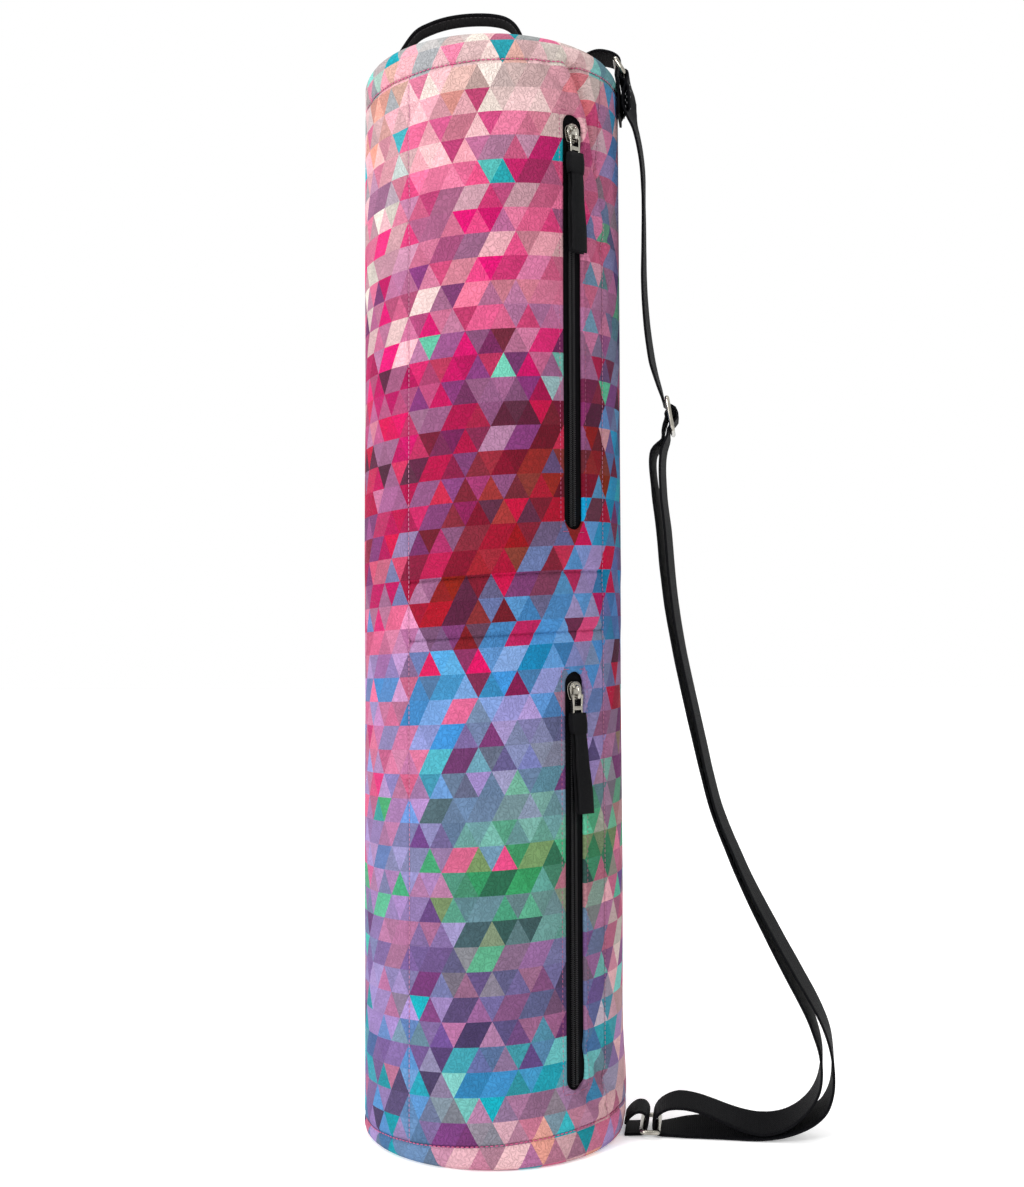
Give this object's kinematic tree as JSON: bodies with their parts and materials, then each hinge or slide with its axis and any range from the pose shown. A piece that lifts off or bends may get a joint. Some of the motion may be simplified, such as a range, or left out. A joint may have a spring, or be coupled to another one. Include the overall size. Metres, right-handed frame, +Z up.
{
  "type": "yoga mat bag",
  "caption": "Upright tube-shaped cloth bag for a rolled yoga mat, with zipped front pockets, a grab handle and an adjustable shoulder strap.",
  "frame": {"origin": "centre of the underside of the base, on the surface that the bag stands on", "axes": "+Z up along the tube, -Y out of the front with the pockets, +X to the side with the shoulder strap"},
  "size_m": [0.2959, 0.165, 0.7176],
  "materials": {
    "printed_cloth": "matt woven cloth printed with a mosaic of small triangles in bands of pink, plum, blue and green",
    "webbing": "black flat webbing",
    "ribbon": "black ribbed ribbon",
    "zip_tape": "black zip tape",
    "zip_coil": "black plastic coil",
    "nickel": "bright nickel-plated metal"
  },
  "bodies": {
    "bag": {"back_panel": "printed_cloth", "upper_pocket_panel": "printed_cloth", "middle_panel": "printed_cloth", "lower_pocket_panel": "printed_cloth", "top_band": "printed_cloth", "bottom_band": "printed_cloth", "lid": "printed_cloth", "base": "printed_cloth", "grab_handle": "webbing", "upper_tab": "webbing", "lower_tab": "webbing", "shoulder_strap": "webbing", "upper_zip_tape": "zip_tape", "lower_zip_tape": "zip_tape", "upper_zip_coil": "zip_coil", "lower_zip_coil": "zip_coil", "upper_zip_slider": "nickel", "lower_zip_slider": "nickel", "upper_ring": "nickel", "lower_ring": "nickel", "tri_glide": "nickel"},
    "upper_pull": {"upper_zip_pull": "nickel", "upper_pull_ribbon": "ribbon"},
    "lower_pull": {"lower_zip_pull": "nickel", "lower_pull_ribbon": "ribbon"}
  },
  "joints": [
    {"name": "upper_pull_hinge", "type": "hinge", "parent": "bag", "child": "upper_pull", "pos_m": [0.0499, -0.06869, 0.6138], "axis": [-0.809, -0.5878, 0], "range_deg": [0, 150]},
    {"name": "lower_pull_hinge", "type": "hinge", "parent": "bag", "child": "lower_pull", "pos_m": [0.0499, -0.06869, 0.2758], "axis": [-0.809, -0.5878, 0], "range_deg": [0, 150]}
  ]
}
